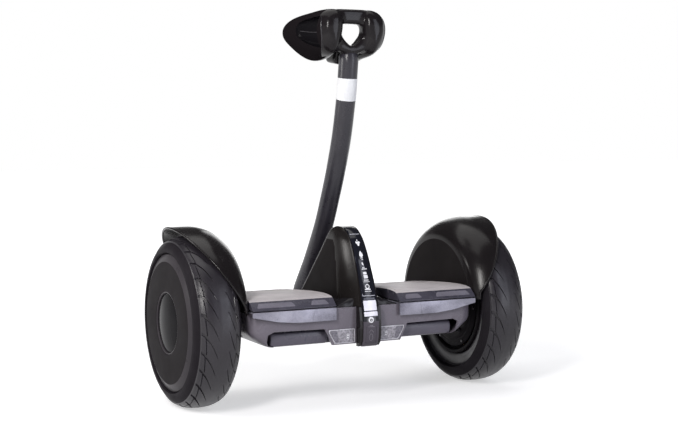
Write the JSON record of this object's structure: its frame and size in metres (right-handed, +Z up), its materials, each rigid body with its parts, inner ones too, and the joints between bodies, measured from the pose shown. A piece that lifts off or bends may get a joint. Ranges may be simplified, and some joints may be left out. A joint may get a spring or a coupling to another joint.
{
  "type": "self-balancing scooter",
  "caption": "Self-balancing scooter: hooded hub-motor wheels either side of a low deck with foot mats, a central hump with a display strip, and a curved steering stem with a pair of knee pads.",
  "frame": {"origin": "on the ground, in the middle of the outline's length and width", "axes": "+Z up, +Y in the driving direction, +X to the rider's right along the wheel axles"},
  "size_m": [0.5544, 0.2695, 0.5909],
  "materials": {
    "cast_frame": "cast, painted black inside the covers",
    "motor_shell": "satin black",
    "panel": "purple-grey, half gloss",
    "satin_black": "satin black",
    "gloss_black": "deep gloss black",
    "tray_silver": "silver-lavender gloss",
    "mat_rubber": "fine-grained warm grey",
    "tyre_rubber": "black, moulded tread",
    "soft_rubber": "matte black",
    "pad_skin": "smooth skin over foam",
    "stem_paint": "satin black paint",
    "steel": "plain steel",
    "stator": "laminated iron wound with copper",
    "lamp_grey": "grey translucent lens",
    "lamp_clear": "clear lens",
    "light_white": "milky white",
    "circuit": "green board",
    "cell_wrap": "blue film"
  },
  "bodies": {
    "base": {"chassis_frame": "cast_frame", "axle_clamp_left": "cast_frame", "axle_clamp_right": "cast_frame", "battery_case": "panel", "battery_pack": "cell_wrap", "control_board": "circuit", "display_board": "circuit", "rear_panel": "panel", "tail_lamp_left": "lamp_grey", "tail_lamp_right": "lamp_grey", "tail_spine": "satin_black", "front_panel": "panel", "headlight_left": "lamp_clear", "headlight_right": "lamp_clear", "hump_cover": "satin_black", "deck_cover": "gloss_black", "display_strip": "gloss_black", "status_window": "light_white", "light_bar": "light_white", "charge_socket": "steel", "axle_left": "steel", "axle_right": "steel", "stator_left": "stator", "stator_right": "stator", "fender_left": "satin_black", "fender_right": "satin_black", "pedal_tray_left": "tray_silver", "pedal_tray_right": "tray_silver", "foot_switch_left": "circuit", "foot_switch_right": "circuit", "pivot_housing": "cast_frame", "pivot_bearing_rear": "steel", "pivot_bearing_front": "steel", "centring_bush": "soft_rubber"},
    "steering": {"steering_shaft": "steel", "stem_socket": "stem_paint", "stem_clamp_screw": "steel", "stem_tube": "stem_paint", "head_frame": "stem_paint", "knee_pad_left": "pad_skin", "knee_pad_right": "pad_skin"},
    "power_button": {"power_button": "light_white"},
    "charge_flap": {"charge_cap": "satin_black"},
    "left_wheel": {"tyre_left": "tyre_rubber", "motor_shell_left": "motor_shell", "motor_cover_left": "cast_frame", "wheel_bearing_left": "steel", "hub_cover_left": "satin_black", "hub_cap_left": "gloss_black", "valve_stem_left": "soft_rubber"},
    "left_mat": {"foot_mat_left": "mat_rubber"},
    "right_wheel": {"tyre_right": "tyre_rubber", "motor_shell_right": "motor_shell", "motor_cover_right": "cast_frame", "wheel_bearing_right": "steel", "hub_cover_right": "satin_black", "hub_cap_right": "gloss_black", "valve_stem_right": "soft_rubber"},
    "right_mat": {"foot_mat_right": "mat_rubber"}
  },
  "joints": [
    {"name": "left_wheel_spin", "type": "hinge", "parent": "base", "child": "left_wheel", "pos_m": [-0.2398, -0.006, 0.1275], "axis": [-1, 0, 0], "continuous": true},
    {"name": "right_wheel_spin", "type": "hinge", "parent": "base", "child": "right_wheel", "pos_m": [0.2398, -0.006, 0.1275], "axis": [-1, 0, 0], "continuous": true},
    {"name": "steering_lean", "type": "hinge", "parent": "base", "child": "steering", "pos_m": [0, 0.0615, 0.127], "axis": [0, 1, 0], "range_deg": [-15, 15], "stiffness_Nm_per_rad": 25},
    {"name": "left_mat_press", "type": "slide", "parent": "base", "child": "left_mat", "axis": [0, 0, -1], "range_m": [0, 0.0015], "stiffness_N_per_m": 8000, "springref_m": -0.001},
    {"name": "right_mat_press", "type": "slide", "parent": "base", "child": "right_mat", "axis": [0, 0, -1], "range_m": [0, 0.0015], "stiffness_N_per_m": 8000, "springref_m": -0.001},
    {"name": "power_button_press", "type": "slide", "parent": "base", "child": "power_button", "axis": [0, 1, 0], "range_m": [0, 0.001], "stiffness_N_per_m": 800, "springref_m": -0.0005},
    {"name": "charge_flap_hinge", "type": "hinge", "parent": "base", "child": "charge_flap", "pos_m": [0, -0.1223, 0.0953], "axis": [1, 0, 0], "range_deg": [0, 95]}
  ]
}
